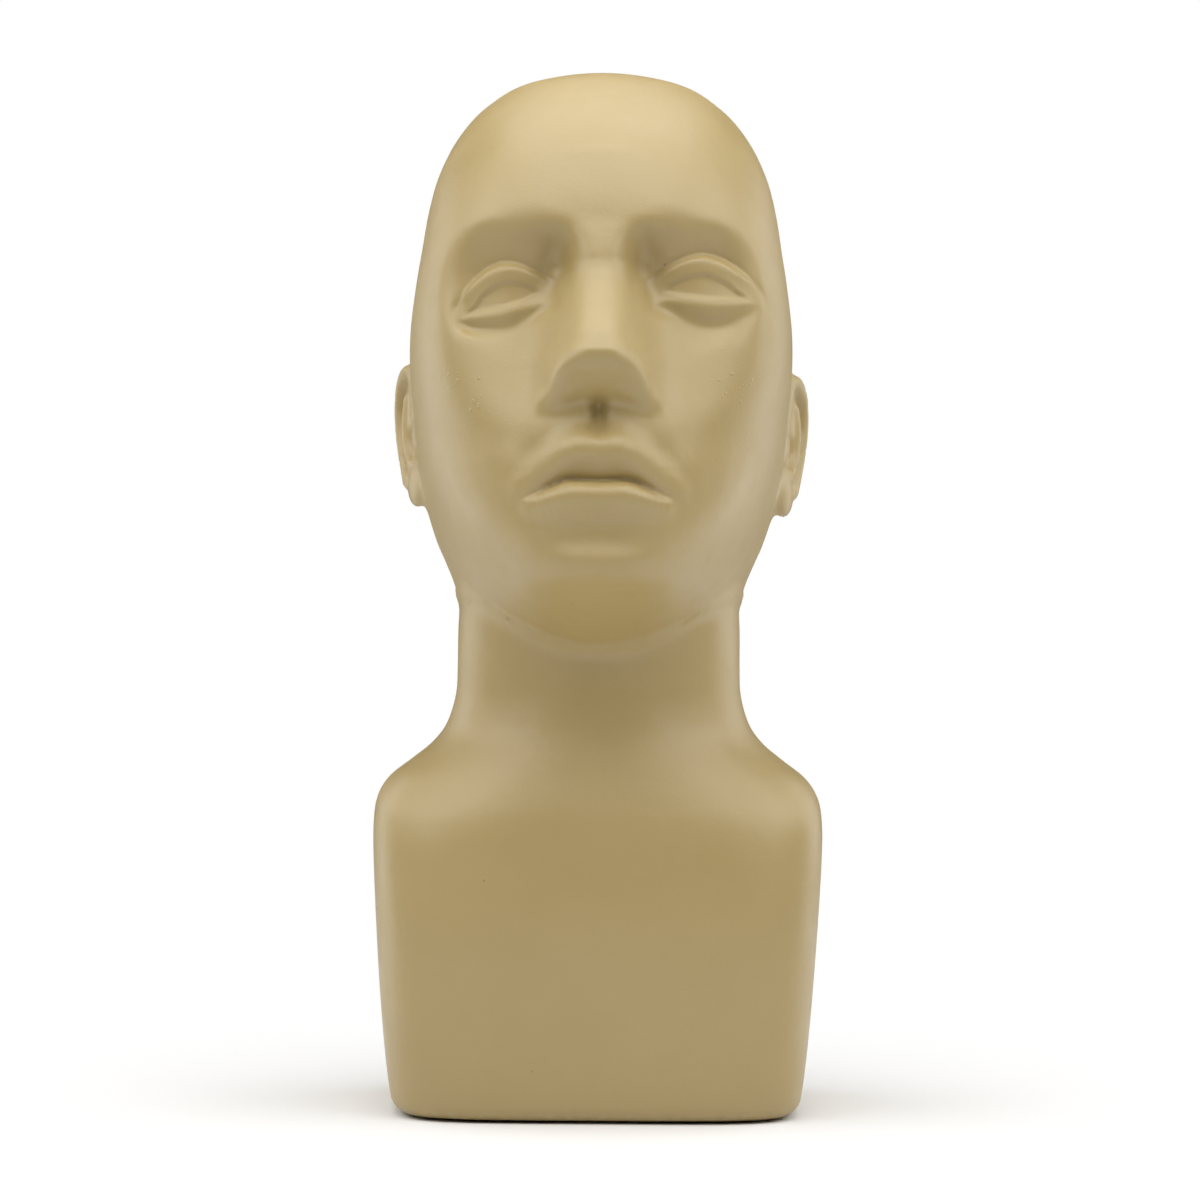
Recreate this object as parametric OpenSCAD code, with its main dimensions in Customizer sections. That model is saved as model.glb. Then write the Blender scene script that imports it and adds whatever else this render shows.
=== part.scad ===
// Bald mannequin head with neck and short bust: a hollow moulded shell closed by a screwed base plate.
// Millimetres, +Z up, face towards -Y. The origin is at the middle of the footprint, under the feet.

/* [Overall] */
// Height from the surface it stands on to the crown
total_height = 430; // [380:1:480]
// Thickness of the moulded skin
wall = 4; // [3:0.5:5]

/* [Head] */
// Breadth of the skull above the ears
head_breadth = 158; // [150:1:170]
// How far the nose stands out from the face
nose_height = 24; // [20:1:34]
// How far each ear stands out from the side of the head
ear_stand = 8; // [4:0.5:10]

/* [Bust] */
// Greatest width across the shoulders
bust_width = 184; // [176:1:200]

/* [Base] */
// How far the feet hold the rim off the surface
foot_stand = 1; // [0.5:0.5:2]
// Thickness of the closing plate
plate_t = 3; // [3:0.5:4]
// Width of the rim that the plate is let into
rim_w = 8; // [7:0.5:10]
// Width of the lip that the plate is screwed to
lip_w = 12; // [11:0.5:14]
// Gap all round between the plate and the rim
plate_gap = 0.4; // [0.2:0.1:0.6]

/* [Screws and feet] */
// Thread diameter of the base screws
screw_d = 3.5; // [3:0.5:4]
// Head diameter of the base screws
screw_head_d = 7; // [6:0.5:8]
// Length of the base screws
screw_len = 9; // [8:0.5:10]
// Diameter of the rubber feet
foot_d = 16; // [12:1:20]

/* [Hidden] */

skin_color = [0.76, 0.69, 0.53];
plate_color = [0.30, 0.28, 0.25];
screw_color = [0.75, 0.75, 0.77];
rubber_color = [0.12, 0.12, 0.12];

// Half sizes and stretches that the outlines below are written in
skull = head_breadth / 2;
bust = bust_width / 2;
nose = nose_height;
rise = (total_height - foot_stand) / 429;

// Stations of the skin from the rim to the crown, which a smooth curve joins: height above the rim,
// half breadth, front, back, squareness of the front and of the back (2 is an ellipse, more is squarer).
// The front is the middle of the face without its nose.
STATIONS = [
    // bust
    [0, 0.889 * bust, -51, 79, 4.5, 4.5], [1.5, 0.899 * bust, -51, 79, 4.5, 4.5],
    [5, 0.909 * bust, -52, 80, 4.6, 4.6], [20, 0.938 * bust, -54, 82, 4.8, 4.8],
    [44, 0.965 * bust, -57, 85, 4.8, 4.8], [74, 0.987 * bust, -59, 88, 4.6, 4.6],
    [101, bust, -58, 89, 4.2, 4.2], [117, bust, -56, 89, 3.6, 3.6], [127, 0.985 * bust, -53.5, 88, 3, 3],
    // shoulders to neck
    [135, 0.932 * bust, -51, 86.5, 2.6, 2.6], [142, 0.836 * bust, -49, 84.5, 2.35, 2.35],
    [149, 0.744 * bust, -47, 82, 2.2, 2.2], [157, 0.681 * bust, -45.5, 79, 2.1, 2.1],
    [169, 0.643 * bust, -44.5, 75, 2, 2], [181, 0.637 * bust, -46, 71.5, 2, 2],
    // underside of the jaw
    [188, 0.742 * skull, -50, 70, 2, 2], [192, 0.748 * skull, -60, 69.5, 2, 2],
    [197, 0.758 * skull, -78, 69.5, 1.9, 2], [202, 0.774 * skull, -95, 69.5, 1.8, 2],
    [208, 0.794 * skull, -105.5, 70, 1.8, 2],
    // chin, mouth and nose
    [217, 0.816 * skull, -109.5, 71.5, 1.8, 2.1], [225, 0.848 * skull, -109.5, 73, 1.85, 2.15],
    [231, 0.876 * skull, -108.5, 75, 1.9, 2.2], [242, 0.911 * skull, -107.5, 78.5, 1.95, 2.25],
    [255, 0.94 * skull, -107, 83, 2, 2.3], [269, 0.963 * skull, -104.5, 87.5, 2.1, 2.3],
    [284, 0.981 * skull, -99, 92, 2.2, 2.3], [299, skull, -94.5, 95.5, 2.3, 2.3],
    [317, skull, -90, 98, 2.35, 2.3],
    // brow, forehead and crown
    [336, 0.973 * skull, -86.5, 98.5, 2.35, 2.3], [351, 0.944 * skull, -86.5, 97, 2.3, 2.25],
    [367, 0.915 * skull, -82, 93.5, 2.2, 2.2], [383, 0.866 * skull, -74, 87.5, 2.15, 2.15],
    [399, 0.771 * skull, -60.5, 77.5, 2.1, 2.1], [413, 0.627 * skull, -42, 63.5, 2, 2],
    [423.5, 0.413 * skull, -19, 43, 2, 2], [429, 0, 13, 13, 2, 2]
];
last = len(STATIONS) - 1;
// First station of the face, where the levels get closer together
face_start = 14;
// Where the section is widest
widest_y = 8;
// Rounding of the edge round the rim
edge_r = 5;

// Relief of the face, the same on both sides: across, height above the rim, breadth, height, stand
RELIEF = [
    [30, 348, 26, 8, 3.5],     // brow
    [33, 327, 21, 11, -10],    // eye socket
    [38, 320, 13, 8, 6],       // eyeball and lids
    [52, 297, 18, 14, 2.5],    // cheekbone
    [48, 261, 16, 16, -3],     // hollow of the cheek
    [17, 281, 8, 8, 7],        // wing of the nose
    [8, 256, 14, 5, 2.5],      // upper lip
    [7, 242, 14, 5, 3],        // lower lip
    [8, 249.5, 18, 2, -1.5],   // parting of the lips
    [28, 246, 7, 6, -3],       // corner of the mouth
    [7, 230.5, 12, 5, -3],     // hollow over the chin
    [9, 217, 15, 10, 2]        // chin
];
// Stand of the nose from its foot on the lip to its root under the brow, and its breadth
nose_profile = [[270, 0], [275, 0.17], [283, 0.5], [292, 0.87], [298, 1], [305, 0.9],
                [319, 0.53], [333, 0.17], [345, 0]];
nose_breadth = [[270, 15], [292, 16], [305, 13], [320, 11], [345, 10]];
// Middle of the ear and its half length and half depth
ear_at = [9, 277];
ear_half = [15, 28];
ear_lean = 0.2;

// Extra thickness behind the eyes, and the height of their middle and of the thick stretch
eye_backing = 7;
eye_h = 325;
eye_backing_h = 18;

// Columns round the skin, closer together at the face, and steps between two stations
columns = 48;
crowding = 33;
bust_steps = 1;
face_steps = 3;

// Screws and feet
screw_fit = 0.1;
screw_inset = rim_w + plate_gap + lip_w / 2;
foot_inset = rim_w + lip_w + foot_d / 2 + 4;
foot_seat = 1;
lip_z = foot_stand + plate_t;
lip_top = lip_z + wall;

function bell(x, w) = exp(-(x / w) * (x / w));
function signed_power(x, p) = sign(x) * pow(abs(x), p);

// A smooth curve through the stations; it is mirrored past the crown, so that the crown is round
function beyond_crown() =
    let (below = STATIONS[last - 1], crown = STATIONS[last])
    [below[0], -below[1], 2 * crown[2] - below[2], 2 * crown[3] - below[3], below[4], below[5]];
function station(s) =
    let (
        i = min(floor(s), last - 1),
        t = s - i,
        a = i > 0 ? STATIONS[i - 1] : 2 * STATIONS[0] - STATIONS[1],
        b = STATIONS[i],
        c = STATIONS[i + 1],
        d = i + 2 <= last ? STATIONS[i + 2] : beyond_crown()
    )
    b + (c - a) * t / 2 + (2 * a - 5 * b + 4 * c - d) * t * t / 2 + (3 * b - a - 3 * c + d) * t * t * t / 2;

// Inset of the skin where it rounds over into the rim
function edge_inset(h) = h >= edge_r ? 0 : edge_r - sqrt(edge_r * edge_r - (edge_r - h) * (edge_r - h));

function relief(x, h) =
    nose * lookup(h, nose_profile) * exp(-pow(abs(x) / lookup(h, nose_breadth), 3))
    + [for (r = RELIEF) r[4] * (bell(x - r[0], r[2]) + bell(x + r[0], r[2])) * bell(h - r[1], r[3])]
      * [for (r = RELIEF) 1];

function ear(y, h) =
    let (along = (h - ear_at[1]) / ear_half[1], across = (y - ear_at[0] - ear_lean * (h - ear_at[1])) / ear_half[0])
    ear_stand * exp(-pow(along, 4) - pow(across, 4));

// A point of the skin: s runs up the stations, turn goes round from the middle of the face
function skin(s, turn) =
    let (
        q = station(s),
        inset = edge_inset(q[0]),
        power = 2 / (cos(turn) > 0 ? q[4] : q[5]),
        mid = min(max(widest_y, q[2]), q[3]),
        half_y = (cos(turn) > 0 ? mid - q[2] : q[3] - mid) - inset,
        x = (q[1] - inset) * signed_power(sin(turn), power),
        y = mid - half_y * signed_power(cos(turn), power),
        facing = max(0, cos(turn))
    )
    [x + sign(x) * ear(y, q[0]) * abs(sin(turn)), y - relief(x, q[0]) * sqrt(facing), foot_stand + q[0] * rise];
function turn(i, count) = let (a = 360 * i / count) a - crowding * sin(a);
function ring(s, count) = [for (i = [0:count - 1]) skin(s, turn(i, count))];

// The same point moved inwards by the wall, which is thicker behind the eyes
function inner_point(s, a) =
    let (
        along = skin(s + 0.2, a) - skin(s - 0.2, a),
        round_it = skin(s, a + 2) - skin(s, a - 2),
        out = cross(round_it, along),
        at_eyes = bell(station(s)[0] - eye_h, eye_backing_h) * max(0, cos(a))
    )
    skin(s, a) - (wall + eye_backing * at_eyes) * out / norm(out);
function inner_ring(s, count) = [for (i = [0:count - 1]) inner_point(s, turn(i, count))];

// Outline of the base, moved inwards
function base_ring(inset, z, count) =
    let (q = STATIONS[0], mid = widest_y)
    [for (i = [0:count - 1])
        let (a = turn(i, count), half_y = (cos(a) > 0 ? mid - q[2] : q[3] - mid) - inset)
        [(q[1] - inset) * signed_power(sin(a), 2 / q[4]), mid - half_y * signed_power(cos(a), 2 / q[4]), z]];

// The skin as a chain of rings: crown, down the outside, round the rim and the lip, up the inside
fine = columns;
coarse = columns / 2;
outer_levels = [
    for (i = [last - 1:-1:face_start], j = [face_steps - 1:-1:0]) i + j / face_steps,
    for (i = [face_start - 1:-1:0], j = [bust_steps - 1:-1:0]) i + j / bust_steps
];
inner_levels = [for (i = [3:last - 1]) i];
outer_rings = [for (s = outer_levels) ring(s, fine)];
rim_rings = [
    base_ring(rim_w, foot_stand, fine),
    base_ring(rim_w, lip_z, fine),
    base_ring(rim_w + lip_w, lip_z, fine),
    base_ring(rim_w + lip_w, lip_top, fine)
];
lip_edge = [for (p = inner_ring(2.3, coarse)) [p.x, p.y, lip_top]];
inner_rings = [for (s = inner_levels) inner_ring(s, coarse)];
crown = skin(last, 0);

skin_points = [
    crown,
    for (r = outer_rings) each r,
    for (r = rim_rings) each r,
    each lip_edge,
    for (r = inner_rings) each r,
    crown - [0, 0, wall]
];
fine_rings = len(outer_rings) + len(rim_rings);
coarse_rings = len(inner_rings) + 1;
coarse_start = 1 + fine_rings * fine;
end_point = coarse_start + coarse_rings * coarse;

// Triangles between two rings of the chain, the second one further along it, mirrored left to right
function band(a, b, n) =
    [for (i = [0:n - 1])
        let (j = (i + 1) % n)
        each i < n / 2
            ? [[b + i, a + i, a + j], [b + i, a + j, b + j]]
            : [[b + i, a + i, b + j], [a + i, a + j, b + j]]];
// The same, where the second ring has half as many points
function halving_band(a, b, n) =
    [for (i = [0:n / 2 - 1])
        let (j = (i + 1) % (n / 2), a0 = a + 2 * i, a1 = a0 + 1, a2 = a + 2 * j)
        each [[b + i, a0, a1], [b + i, a1, b + j], [b + j, a1, a2]]];
function first_cap(a, b, n) = [for (i = [0:n - 1]) [b + i, a, b + (i + 1) % n]];
function end_cap(a, b, n) = [for (i = [0:n - 1]) [b, a + i, a + (i + 1) % n]];

skin_faces = [
    each first_cap(0, 1, fine),
    for (k = [0:fine_rings - 2]) each band(1 + k * fine, 1 + (k + 1) * fine, fine),
    each halving_band(coarse_start - fine, coarse_start, fine),
    for (k = [0:coarse_rings - 2])
        each band(coarse_start + k * coarse, coarse_start + (k + 1) * coarse, coarse),
    each end_cap(end_point - coarse, end_point, coarse)
];

// Puts the middle of the whole depth, nose to back of the head, over the origin
depths = [for (r = outer_rings) for (p = r) p.y];
to_middle = -(min(depths) + max(depths)) / 2;

// Places on the base, from its outline
base_half = STATIONS[0][1];
base_front = STATIONS[0][2];
base_back = STATIONS[0][3];
side_screw_x = 0.56 * base_half;
screw_places = [
    [-side_screw_x, base_front + screw_inset],
    [side_screw_x, base_front + screw_inset],
    [-side_screw_x, base_back - screw_inset],
    [side_screw_x, base_back - screw_inset],
    [screw_inset - base_half, widest_y],
    [base_half - screw_inset, widest_y]
];
foot_x = base_half - foot_inset;
foot_front = base_front + foot_inset;
foot_back = base_back - foot_inset;

module screw_hole(d) {
    translate([0, 0, foot_stand - 1])
        cylinder(d = d, h = lip_top - foot_stand + 2, $fn = 32);
}

module shell() {
    color(skin_color)
        translate([0, to_middle, 0])
            difference() {
                polyhedron(points = skin_points, faces = skin_faces, convexity = 8);
                for (at = screw_places)
                    translate(at)
                        screw_hole(screw_d + screw_fit);
            }
}

// Countersink for a screw head whose flat is at the underside of the plate
module countersink(d) {
    sink_h = (d - screw_d) / 2;
    translate([0, 0, foot_stand])
        cylinder(d1 = d, d2 = screw_d, h = sink_h, $fn = 48);
}

module base_plate() {
    outline = [for (p = base_ring(rim_w + plate_gap, 0, fine)) [p.x, p.y]];
    color(plate_color)
        translate([0, to_middle, 0])
            difference() {
                translate([0, 0, foot_stand])
                    linear_extrude(height = plate_t)
                        polygon(outline);
                for (at = screw_places)
                    translate(at) {
                        screw_hole(screw_d + 4 * screw_fit);
                        countersink(screw_head_d + 2 * screw_fit);
                    }
                for (x = [-foot_x, foot_x], y = [foot_front, foot_back])
                    translate([x, y, foot_stand - 1])
                        cylinder(d = foot_d + 2 * screw_fit, h = 1 + foot_seat, $fn = 48);
            }
}

// Countersunk self-tapping screw, driven upwards, with a cross slot in its head
module screw() {
    slot_l = 0.6 * screw_head_d;
    slot_w = 0.9;
    slot_depth = 1.3;
    tip_l = 2;
    difference() {
        union() {
            countersink(screw_head_d);
            translate([0, 0, foot_stand])
                cylinder(d = screw_d, h = screw_len - tip_l, $fn = 32);
            translate([0, 0, foot_stand + screw_len - tip_l])
                cylinder(d1 = screw_d, d2 = 0.6, h = tip_l, $fn = 32);
        }
        for (a = [0, 90])
            rotate([0, 0, a])
                translate([-slot_l / 2, -slot_w / 2, foot_stand - 1])
                    cube([slot_l, slot_w, 1 + slot_depth]);
    }
}

module base_screws() {
    color(screw_color)
        translate([0, to_middle, 0])
            for (at = screw_places)
                translate(at)
                    screw();
}

// Rubber foot with a rounded edge, seated in the plate
module foot(x, y) {
    edge = 0.6;
    height = foot_stand + foot_seat;
    color(rubber_color)
        translate([x, y + to_middle, 0])
            rotate_extrude($fn = 48)
                polygon([[0, 0], [foot_d / 2 - edge, 0], [foot_d / 2, edge], [foot_d / 2, height], [0, height]]);
}
module foot_front_left() { foot(foot_x, foot_front); }
module foot_front_right() { foot(-foot_x, foot_front); }
module foot_back_left() { foot(foot_x, foot_back); }
module foot_back_right() { foot(-foot_x, foot_back); }

shell();
base_plate();
base_screws();
foot_front_left();
foot_front_right();
foot_back_left();
foot_back_right();
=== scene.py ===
"""Bald mannequin head with neck and short bust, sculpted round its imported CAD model.

The shell is worked out as a field: a number for every point, negative inside the plastic. Sections
from the bust to the crown give the body of it, and rounded forms are blended in or carved out for
the features. The field is meshed, refined where the detail is and hollowed. Millimetres, converted
to metres at the end.
"""
import math

import bmesh
import bpy
import numpy as np
from mathutils import Matrix, Vector


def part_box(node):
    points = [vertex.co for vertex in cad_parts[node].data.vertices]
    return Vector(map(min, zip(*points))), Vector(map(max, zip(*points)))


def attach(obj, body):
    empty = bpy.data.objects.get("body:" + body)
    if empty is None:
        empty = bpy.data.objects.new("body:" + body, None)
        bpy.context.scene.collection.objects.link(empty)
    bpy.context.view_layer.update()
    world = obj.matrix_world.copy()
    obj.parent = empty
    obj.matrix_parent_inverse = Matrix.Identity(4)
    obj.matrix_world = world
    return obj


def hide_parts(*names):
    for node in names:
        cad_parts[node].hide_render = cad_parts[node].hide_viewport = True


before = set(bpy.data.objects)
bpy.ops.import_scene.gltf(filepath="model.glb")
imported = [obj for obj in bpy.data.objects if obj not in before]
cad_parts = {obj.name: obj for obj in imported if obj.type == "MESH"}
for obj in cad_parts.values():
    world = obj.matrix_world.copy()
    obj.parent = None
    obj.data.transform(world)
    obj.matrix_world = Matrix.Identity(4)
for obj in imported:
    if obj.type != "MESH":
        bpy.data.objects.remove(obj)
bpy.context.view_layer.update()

M = 0.001  # metres in a millimetre

# ------------------------------------------------------------------ places, from the frame

shell_low, shell_high = (np.array(corner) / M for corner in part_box("shell"))
plate_low, plate_high = (np.array(corner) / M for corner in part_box("base_plate"))
FLOOR_Z = shell_low[2]                     # underside of the rim
CROWN_Z = shell_high[2]
PLATE_T = plate_high[2] - plate_low[2]
PLATE_MID_Y = 14.0                         # the plate's middle, in the sculpt's own depth
DEPTH_SHIFT = (plate_low[1] + plate_high[1]) / 2 - PLATE_MID_Y
SKULL = 79.0                               # half breadth of the skull
BUST = (shell_high[0] - shell_low[0]) / 2  # half breadth of the shoulders
RISE = (CROWN_Z - FLOOR_Z) / 429.0         # stretch of the heights below, which are for 429 mm

# ------------------------------------------------------------------ sections and sizes

# Height above the rim, half breadth, front, back, squareness of the front and of the back, flare
TRUNK = np.array([
    [0, 0.889 * BUST, -51, 79, 4.5, 4.5, 0], [5, 0.909 * BUST, -52, 80, 4.8, 4.6, 0.03],
    [20, 0.938 * BUST, -54, 82, 5.8, 4.8, 0.08], [44, 0.965 * BUST, -57, 85, 6.5, 4.8, 0.11],
    [74, 0.987 * BUST, -59, 88, 6, 4.6, 0.1], [101, BUST, -58, 89, 4.8, 4.2, 0.06],
    [117, BUST, -56, 89, 3.8, 3.6, 0.02], [127, 0.985 * BUST, -53.5, 88, 3, 3, 0],
    # shoulders to neck
    [135, 0.932 * BUST, -51, 86.5, 2.6, 2.6, 0], [142, 0.836 * BUST, -49, 84.5, 2.35, 2.35, 0],
    [149, 0.744 * BUST, -47, 82, 2.2, 2.2, 0], [157, 0.681 * BUST, -45.5, 79, 2.1, 2.1, 0],
    [169, 0.643 * BUST, -44.5, 75, 2, 2, 0], [181, 0.637 * BUST, -45, 71.5, 2, 2, 0],
    [200, 0.634 * BUST, -47, 69.5, 2, 2, 0], [225, 0.61 * BUST, -45, 69, 2, 2, 0],
    [260, 0.56 * BUST, -40, 68, 2, 2, 0],
])
HEAD = np.array([
    # jaw and chin
    [170, 0.71 * SKULL, -92, 66, 1.9, 2, 0], [185, 0.74 * SKULL, -98, 67.5, 1.85, 2, 0],
    [197, 0.766 * SKULL, -103.5, 69, 1.8, 2, 0], [208, 0.794 * SKULL, -108, 70, 1.8, 2, 0],
    [217, 0.816 * SKULL, -109, 71.5, 1.8, 2.1, 0], [225, 0.848 * SKULL, -107.5, 73, 1.85, 2.15, 0],
    # mouth and nose
    [231, 0.876 * SKULL, -106.5, 75, 1.9, 2.2, 0], [242, 0.911 * SKULL, -106, 78.5, 1.95, 2.25, 0],
    [255, 0.94 * SKULL, -105.5, 83, 2, 2.3, 0], [269, 0.963 * SKULL, -101.5, 87.5, 2.1, 2.3, 0],
    [284, 0.981 * SKULL, -97.5, 92, 2.3, 2.3, 0], [299, SKULL, -94.5, 95.5, 2.45, 2.3, 0],
    [317, SKULL, -90.5, 98, 2.6, 2.3, 0],
    # brow, forehead and crown
    [336, 0.973 * SKULL, -87.5, 98.5, 2.7, 2.3, 0], [351, 0.944 * SKULL, -86, 97, 2.65, 2.25, 0],
    [367, 0.915 * SKULL, -81.5, 93.5, 2.45, 2.2, 0], [383, 0.866 * SKULL, -73.5, 87.5, 2.25, 2.15, 0],
    [399, 0.771 * SKULL, -60.5, 77.5, 2.1, 2.1, 0], [413, 0.627 * SKULL, -42, 63.5, 2, 2, 0],
    [423.5, 0.413 * SKULL, -19, 43, 2, 2, 0], [429, 0, 13, 13, 2, 2, 0],
])
WIDEST_Y = 8.0           # depth at which a section is widest
CROWN_Y = 13.0           # depth of the crown
CROWN_SPAN = 30.0        # height over which the widest place moves from one to the other
CROWN_R = 86.0           # radius of the crown, for points above it
SMALL_HALF = 14.0        # half breadth from which the crown is too small to divide by
SECTIONS_PER_SPAN = 24   # sections worked out between two rows of a table

EDGE_R = 5.0             # rounding round the rim
EDGE_TURNS = [18, 36, 54, 72, 90]  # degrees round it at which it gets a ring of corners
WALL = 4.0               # thickness of the moulded skin
RIM_W = 8.0              # width of the rim that the plate is let into
LIP_W = 12.0             # width of the lip that the plate is screwed to
LIP_T = 4.0              # thickness of the lip
SCREW_HOLE_R = 1.8
SCREW_HEAD_SPREAD = 9.0  # farthest apart that two points of the same screw can be
AXIS_Y = 12.0            # depth of the upright line that the inside is worked out round
INSIDE_FAR = 130.0       # farther from it than any point of the inside

NECK_TOP = 235.0         # where the neck ends, inside the head
NECK_BLEND = 5.0
THROAT = (-48.0, 191.0)  # depth and height at which the underside of the jaw meets the neck
JAW_SLOPE = 0.4          # how steeply the underside of the jaw rises from the throat to the chin
JAW_RISE = 0.012         # how fast it rises to the sides
JAW_ROUND = 12.0         # rounding of the edge of the jaw
JAW_BEAD = 1.6           # height of the fine raised line where the jaw meets the neck
BEAD_HALF = 1.3          # half its width
BEAD_REACH = 8.0         # how far from the surface it still works
BEAD_BACK = 20.0         # depth at which it has faded away

FACE_LEAN = 0.06         # how much the face leans back, as depth over height
LEAN_FROM = 262.0        # height that it leans from
LEAN_BACK = 10.0         # depth from which the head leans, more and more towards the face
LEAN_SPAN = 60.0
HEAD_TURN = math.radians(1.4)  # how far the face is turned from square to the bust
TURN_FROM = 151.0        # height where the turn starts
TURN_SPAN = 50.0
EYE_SLANT = math.radians(5.3)  # how much one eye is tilted up outwards, and the other down
EYE_STRETCH = 0.05       # how much wider one eye is, and the other narrower
EAR_DROP = 1.6           # how much lower one ear sits, and the other higher

GRID_STEP = 3.2          # size of the grid cells that the surface is found in
GRID_BOX = ((-98, -132, FLOOR_Z - 6), (98, 106, CROWN_Z + 5))
# Places where the mesh is made finer, each also on the other side
FINE_FACE = ((-1, -140, 196), (72, -35, 362))
FINE_EAR = ((58, -12, 240), (105, 60, 320))
FINE_EYE = ((12, -120, 310), (68, -40, 345))
FINE_MOUTH = ((-1, -140, 225), (38, -80, 306))
FINE_MARGIN = 4.0        # how far round them the points are still evened out


def smooth_step(t):
    t = np.clip(t, 0, 1)
    return t * t * (3 - 2 * t)


def spans_through(points, per_span):
    """A smooth curve from the second point to the last but one, through all those between."""
    t = (np.arange(per_span) / per_span)[:, None]
    spans = []
    for a, b, c, d in zip(points[:-3], points[1:-2], points[2:-1], points[3:]):
        spans.append(b + (c - a) * t / 2 + (2 * a - 5 * b + 4 * c - d) * t**2 / 2
                     + (3 * b - a - 3 * c + d) * t**3 / 2)
    return np.vstack(spans + [points[-2:-1]])


def spline(points, per_span):
    """A smooth curve through the stations, mirrored past the last one so that the crown is round."""
    beyond = points[-2].copy()
    beyond[1] *= -1
    beyond[2:4] = 2 * points[-1][2:4] - points[-2][2:4]
    return spans_through(np.vstack([2 * points[0] - points[1], points, beyond]), per_span)


class Sections:
    """A solid given by its level sections, which are rounded boxes between an ellipse and a rectangle."""

    def __init__(self, stations):
        table = spline(stations, SECTIONS_PER_SPAN)
        self.z = FLOOR_Z + table[:, 0] * RISE
        self.half = table[:, 1]
        self.mid = WIDEST_Y + (CROWN_Y - WIDEST_Y) * smooth_step((self.z - CROWN_Z) / CROWN_SPAN + 1)
        self.front_power, self.back_power, self.flare = table[:, 4:].T
        self.over_front = self.held_ratio(self.mid - table[:, 2])
        self.over_back = self.held_ratio(table[:, 3] - self.mid)

    def held_ratio(self, depth):
        """Breadth over depth, held from where the crown gets too small to divide by."""
        ratio = self.half / np.maximum(depth, 1)
        small = np.flatnonzero(self.half < SMALL_HALF)
        if len(small):
            ratio[small[0]:] = ratio[small[0] - 1]
        return ratio

    def raw(self, p):
        """Not yet a distance: squared size of the point's own section less the squared half breadth."""
        x, y, z = np.abs(p[:, 0]), p[:, 1], p[:, 2]
        half = np.interp(z, self.z, self.half)
        half2 = np.where(z > CROWN_Z, (CROWN_Z - z) * 2 * CROWN_R, np.interp(z, self.z, self.half**2))
        depth = y - np.interp(z, self.z, self.mid)
        in_front = depth < 0
        power, over = (np.where(in_front, np.interp(z, self.z, front), np.interp(z, self.z, back))
                       for front, back in ((self.front_power, self.back_power),
                                           (self.over_front, self.over_back)))
        depth = np.abs(depth) * over
        share = np.clip(depth / np.maximum(half, 1), 0, 1.2) * in_front
        x = x / (1 - np.interp(z, self.z, self.flare) * share * share)
        return ((x + 1e-6) ** power + (depth + 1e-6) ** power) ** (2 / power) - half2

    def distance(self, p):
        """Near enough the distance to the surface, negative inside."""
        raw = self.raw(p)
        slope = sum(((self.raw(p + 0.3 * axis) - raw) / 0.3) ** 2 for axis in np.eye(3))
        return raw / np.sqrt(slope + 1)


trunk = Sections(TRUNK)
head = Sections(HEAD)

# ------------------------------------------------------------------ forms and how they join


def join(a, b, k):
    """The two together, blended over k."""
    h = np.maximum(k - np.abs(a - b), 0) / k
    return np.minimum(a, b) - h * h * k / 4


def carve(a, b, k):
    """The first with the second cut out of it, blended over k."""
    return -join(-a, b, k)


def both(a, b, k):
    """What the two have in common, blended over k."""
    return -join(-a, -b, k)


def egg(p, centre, radii, yaw=0):
    """Distance to an ellipsoid, turned by yaw degrees about the vertical."""
    q = p - np.array(centre)
    c, s = math.cos(math.radians(yaw)), math.sin(math.radians(yaw))
    q = np.stack([c * q[:, 0] + s * q[:, 1], -s * q[:, 0] + c * q[:, 1], q[:, 2]], 1)
    r = np.array(radii)
    near = np.linalg.norm(q / r, axis=1)
    return near * (near - 1) / (np.linalg.norm(q / r**2, axis=1) + 1e-9)


def smooth_route(route):
    """A flowing line through the points of a route, as short straight pieces."""
    route = np.array(route, float)
    ends = np.vstack([2 * route[0] - route[1], route, 2 * route[-1] - route[-2]])
    return spans_through(ends, 3)


def tube(p, route):
    """Distance to a round bar through points, each with its radius last."""
    route = smooth_route(route)
    best = np.full(len(p), 1e9)
    for a, b in zip(route[:-1], route[1:]):
        way = b[:-1] - a[:-1]
        t = np.clip((p - a[:-1]) @ way / (way @ way), 0, 1)
        gap = np.linalg.norm(p - a[:-1] - t[:, None] * way, axis=1) - (a[-1] + (b[-1] - a[-1]) * t)
        best = np.minimum(best, gap)
    return best


def line(p, route, width):
    """1 on a line drawn on the front of the face, fading to 0 on both sides and towards its ends.

    The line is a row of points (x, z, strength), and width is how wide it fades.
    """
    route = smooth_route(route)
    flat = p[:, [0, 2]]
    near, best = np.full(len(p), 1e9), np.zeros(len(p))
    for a, b in zip(route[:-1], route[1:]):
        way = b[:2] - a[:2]
        t = np.clip((flat - a[:2]) @ way / (way @ way), 0, 1)
        gap = np.linalg.norm(flat - a[:2] - t[:, None] * way, axis=1)
        closer = gap < near
        near[closer] = gap[closer]
        best[closer] = (a[2] + (b[2] - a[2]) * t)[closer]
    return best * np.exp(-((near / width) ** 2))


def along(x, points):
    """Second value of a smooth line at x, which is its first value."""
    xs, values = smooth_route(points).T
    return np.interp(x, xs, values)


def within(p, box):
    """Numbers of the points inside a box."""
    low, high = box
    return np.flatnonzero(np.all((p > low) & (p < high), axis=1))


# ------------------------------------------------------------------ eyes and nose
# x outwards from the middle, y back from the face, z up; the last value is a radius or a strength

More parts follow.
